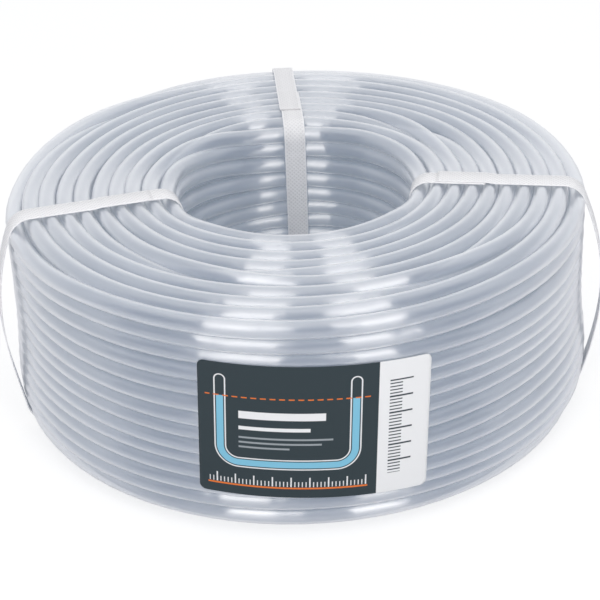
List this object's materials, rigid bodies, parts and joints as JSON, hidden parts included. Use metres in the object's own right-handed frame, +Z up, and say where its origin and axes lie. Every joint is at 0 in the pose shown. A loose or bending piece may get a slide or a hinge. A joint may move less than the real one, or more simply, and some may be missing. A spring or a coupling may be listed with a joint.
{
  "type": "level hose coil",
  "caption": "Thick upright-axis coil of clear flexible level hose, bound by slack white plastic straps, with a film label on its outer wall and open hose ends for fittings.",
  "frame": {"origin": "on the coil's axis, on the floor that the straps lie on", "axes": "+Z up along the coil's axis, -Y towards the label, +X to the right as the label is read"},
  "size_m": [0.3627, 0.3466, 0.1387],
  "materials": {
    "clear_hose": "clear flexible PVC, milky in bulk",
    "strap": "embossed white polypropylene",
    "label": "printed film"
  },
  "bodies": {
    "coil": {"hose_inner_turns": "clear_hose", "hose_outer_turns": "clear_hose", "hose_inner_end": "clear_hose", "hose_outer_end": "clear_hose", "label": "label"},
    "left_strap": {"strap_left": "strap"},
    "right_strap": {"strap_right": "strap"},
    "rear_strap": {"strap_rear": "strap"}
  },
  "joints": [
    {"name": "left_strap_slide", "type": "hinge", "parent": "coil", "child": "left_strap", "pos_m": [0, 0, 0], "axis": [0, 0, 1], "range_deg": [-10, 10]},
    {"name": "right_strap_slide", "type": "hinge", "parent": "coil", "child": "right_strap", "pos_m": [0, 0, 0], "axis": [0, 0, 1], "range_deg": [-10, 10]},
    {"name": "rear_strap_slide", "type": "hinge", "parent": "coil", "child": "rear_strap", "pos_m": [0, 0, 0], "axis": [0, 0, 1], "range_deg": [-10, 10]}
  ]
}
